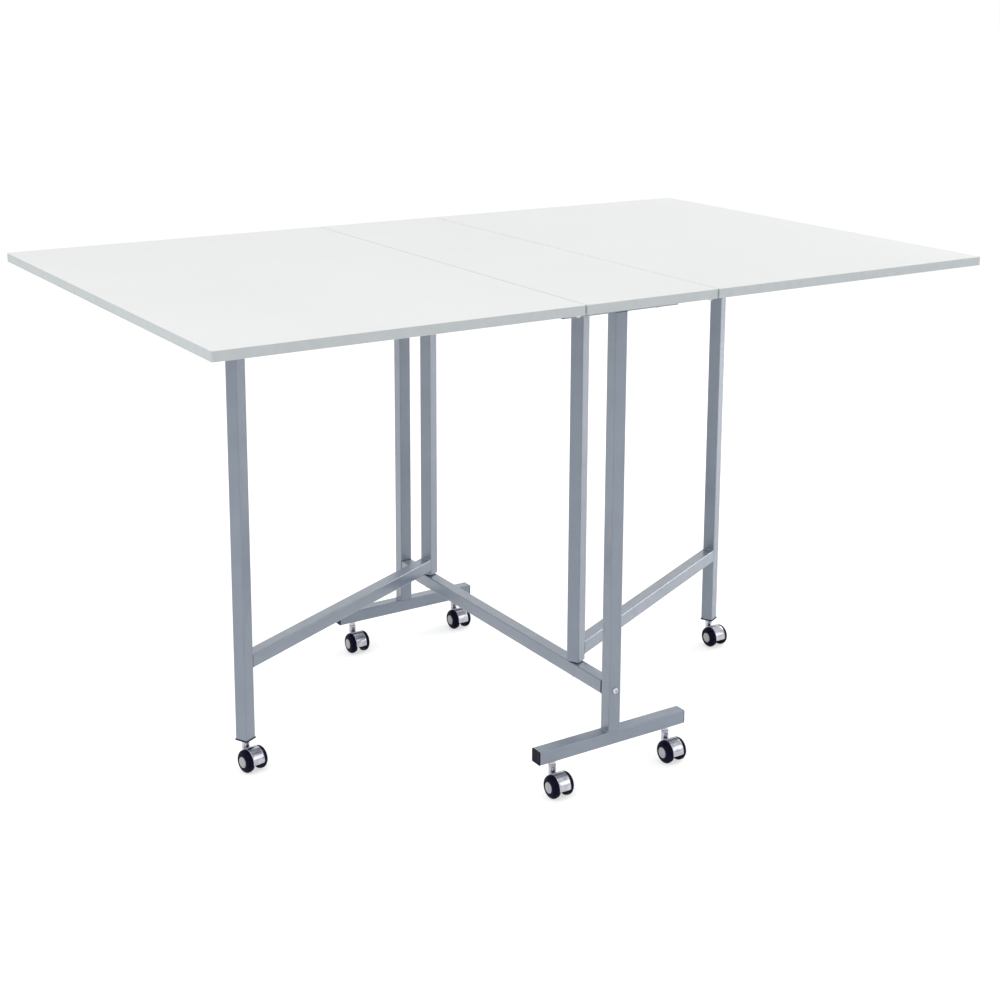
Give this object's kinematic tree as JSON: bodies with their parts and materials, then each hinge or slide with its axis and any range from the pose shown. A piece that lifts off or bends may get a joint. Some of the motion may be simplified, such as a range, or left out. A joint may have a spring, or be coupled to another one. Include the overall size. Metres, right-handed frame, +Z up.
{
  "type": "folding cutting table",
  "caption": "Free-standing craft table: narrow centre panel on a caster-footed tube frame, with a large hinged leaf on each side held up by a swing-out gate leg.",
  "frame": {"origin": "on the floor, under the middle of the table top with both leaves up", "axes": "+Z up; X along the table's long edge, from the left leaf to the right leaf; Y across it, along the stretchers, with the front pedestal at -Y"},
  "size_m": [1.49, 0.925, 0.855],
  "materials": {
    "white_board": "satin melamine-faced particle board",
    "silver_paint": "silver-grey powder coat on square steel tube",
    "black_plastic": "black moulded nylon",
    "zinc_steel": "zinc-plated steel",
    "chrome_hood": "polished plating",
    "tyre": "black nylon wheel with a grey hub disc"
  },
  "bodies": {
    "frame": {"centre_hinge_flaps": "zinc_steel", "centre_panel": "white_board", "foot_caster_stems": "zinc_steel", "front_foot_bar": "silver_paint", "front_post": "silver_paint", "front_top_bar": "silver_paint", "hinge_pins": "zinc_steel", "lower_pivot_pins": "zinc_steel", "lower_stretcher": "silver_paint", "panel_screws": "zinc_steel", "pivot_washers": "black_plastic", "rear_foot_bar": "silver_paint", "rear_post": "silver_paint", "rear_top_bar": "silver_paint", "square_end_plugs": "black_plastic", "stretcher_bolts": "zinc_steel", "stretcher_end_plugs": "black_plastic", "upper_pivot_pins": "zinc_steel", "upper_stretcher": "silver_paint"},
    "front_left_caster": {"front_left_caster_hood": "chrome_hood"},
    "front_left_caster_left_wheel": {"front_left_caster_left_wheel": "tyre"},
    "front_left_caster_right_wheel": {"front_left_caster_right_wheel": "tyre"},
    "front_right_caster": {"front_right_caster_hood": "chrome_hood"},
    "front_right_caster_left_wheel": {"front_right_caster_left_wheel": "tyre"},
    "front_right_caster_right_wheel": {"front_right_caster_right_wheel": "tyre"},
    "left_gate": {"left_gate_bushes": "black_plastic", "left_gate_leg": "silver_paint", "left_gate_lower_bar": "silver_paint", "left_gate_pivot_tube": "silver_paint", "left_gate_upper_bar": "silver_paint", "left_leg_cap": "black_plastic", "left_leg_caster_stem": "zinc_steel", "left_leg_foot_plug": "black_plastic"},
    "left_leaf": {"left_leaf": "white_board", "left_leaf_hinge_flaps": "zinc_steel", "left_leg_stop": "black_plastic"},
    "left_leg_caster": {"left_leg_caster_hood": "chrome_hood"},
    "left_leg_caster_left_wheel": {"left_leg_caster_left_wheel": "tyre"},
    "left_leg_caster_right_wheel": {"left_leg_caster_right_wheel": "tyre"},
    "rear_left_caster": {"rear_left_caster_hood": "chrome_hood"},
    "rear_left_caster_left_wheel": {"rear_left_caster_left_wheel": "tyre"},
    "rear_left_caster_right_wheel": {"rear_left_caster_right_wheel": "tyre"},
    "rear_right_caster": {"rear_right_caster_hood": "chrome_hood"},
    "rear_right_caster_left_wheel": {"rear_right_caster_left_wheel": "tyre"},
    "rear_right_caster_right_wheel": {"rear_right_caster_right_wheel": "tyre"},
    "right_gate": {"right_gate_bushes": "black_plastic", "right_gate_leg": "silver_paint", "right_gate_lower_bar": "silver_paint", "right_gate_pivot_tube": "silver_paint", "right_gate_upper_bar": "silver_paint", "right_leg_cap": "black_plastic", "right_leg_caster_stem": "zinc_steel", "right_leg_foot_plug": "black_plastic"},
    "right_leaf": {"right_leaf": "white_board", "right_leaf_hinge_flaps": "zinc_steel", "right_leg_stop": "black_plastic"},
    "right_leg_caster": {"right_leg_caster_hood": "chrome_hood"},
    "right_leg_caster_left_wheel": {"right_leg_caster_left_wheel": "tyre"},
    "right_leg_caster_right_wheel": {"right_leg_caster_right_wheel": "tyre"}
  },
  "joints": [
    {"name": "left_gate_swing", "type": "hinge", "parent": "frame", "child": "left_gate", "pos_m": [0, 0.258, 0.49], "axis": [0, 0, 1], "range_deg": [0, 60]},
    {"name": "right_gate_swing", "type": "hinge", "parent": "frame", "child": "right_gate", "pos_m": [0, -0.258, 0.49], "axis": [0, 0, 1], "range_deg": [0, 60]},
    {"name": "left_leaf_lift", "type": "hinge", "parent": "frame", "child": "left_leaf", "pos_m": [-0.131, 0, 0.8351], "axis": [0, 1, 0], "range_deg": [0, 4.5]},
    {"name": "right_leaf_lift", "type": "hinge", "parent": "frame", "child": "right_leaf", "pos_m": [0.131, 0, 0.8351], "axis": [0, -1, 0], "range_deg": [0, 4.5]},
    {"name": "front_left_caster_swivel", "type": "hinge", "parent": "frame", "child": "front_left_caster", "pos_m": [-0.1195, -0.364, 0.045], "axis": [0, 0, 1], "continuous": true},
    {"name": "front_left_caster_left_wheel_spin", "type": "hinge", "parent": "front_left_caster", "child": "front_left_caster_left_wheel", "pos_m": [-0.1342, -0.384, 0.02], "axis": [1, 0, 0], "continuous": true},
    {"name": "front_left_caster_right_wheel_spin", "type": "hinge", "parent": "front_left_caster", "child": "front_left_caster_right_wheel", "pos_m": [-0.1048, -0.384, 0.02], "axis": [1, 0, 0], "continuous": true},
    {"name": "front_right_caster_swivel", "type": "hinge", "parent": "frame", "child": "front_right_caster", "pos_m": [0.1195, -0.364, 0.045], "axis": [0, 0, 1], "continuous": true},
    {"name": "front_right_caster_left_wheel_spin", "type": "hinge", "parent": "front_right_caster", "child": "front_right_caster_left_wheel", "pos_m": [0.1048, -0.384, 0.02], "axis": [1, 0, 0], "continuous": true},
    {"name": "front_right_caster_right_wheel_spin", "type": "hinge", "parent": "front_right_caster", "child": "front_right_caster_right_wheel", "pos_m": [0.1342, -0.384, 0.02], "axis": [1, 0, 0], "continuous": true},
    {"name": "rear_left_caster_swivel", "type": "hinge", "parent": "frame", "child": "rear_left_caster", "pos_m": [-0.1195, 0.364, 0.045], "axis": [0, 0, 1], "continuous": true},
    {"name": "rear_left_caster_left_wheel_spin", "type": "hinge", "parent": "rear_left_caster", "child": "rear_left_caster_left_wheel", "pos_m": [-0.1342, 0.344, 0.02], "axis": [1, 0, 0], "continuous": true},
    {"name": "rear_left_caster_right_wheel_spin", "type": "hinge", "parent": "rear_left_caster", "child": "rear_left_caster_right_wheel", "pos_m": [-0.1048, 0.344, 0.02], "axis": [1, 0, 0], "continuous": true},
    {"name": "rear_right_caster_swivel", "type": "hinge", "parent": "frame", "child": "rear_right_caster", "pos_m": [0.1195, 0.364, 0.045], "axis": [0, 0, 1], "continuous": true},
    {"name": "rear_right_caster_left_wheel_spin", "type": "hinge", "parent": "rear_right_caster", "child": "rear_right_caster_left_wheel", "pos_m": [0.1048, 0.344, 0.02], "axis": [1, 0, 0], "continuous": true},
    {"name": "rear_right_caster_right_wheel_spin", "type": "hinge", "parent": "rear_right_caster", "child": "rear_right_caster_right_wheel", "pos_m": [0.1342, 0.344, 0.02], "axis": [1, 0, 0], "continuous": true},
    {"name": "left_leg_caster_swivel", "type": "hinge", "parent": "left_gate", "child": "left_leg_caster", "pos_m": [-0.51387, 0, 0.045], "axis": [0, 0, 1], "continuous": true},
    {"name": "left_leg_caster_left_wheel_spin", "type": "hinge", "parent": "left_leg_caster", "child": "left_leg_caster_left_wheel", "pos_m": [-0.52487, -0.02225, 0.02], "axis": [0.9848, 0.1736, 0], "continuous": true},
    {"name": "left_leg_caster_right_wheel_spin", "type": "hinge", "parent": "left_leg_caster", "child": "left_leg_caster_right_wheel", "pos_m": [-0.49592, -0.01714, 0.02], "axis": [0.9848, 0.1736, 0], "continuous": true},
    {"name": "right_leg_caster_swivel", "type": "hinge", "parent": "right_gate", "child": "right_leg_caster", "pos_m": [0.51387, 0, 0.045], "axis": [0, 0, 1], "continuous": true},
    {"name": "right_leg_caster_left_wheel_spin", "type": "hinge", "parent": "right_leg_caster", "child": "right_leg_caster_left_wheel", "pos_m": [0.49917, -0.02, 0.02], "axis": [1, 0, 0], "continuous": true},
    {"name": "right_leg_caster_right_wheel_spin", "type": "hinge", "parent": "right_leg_caster", "child": "right_leg_caster_right_wheel", "pos_m": [0.52857, -0.02, 0.02], "axis": [1, 0, 0], "continuous": true}
  ]
}
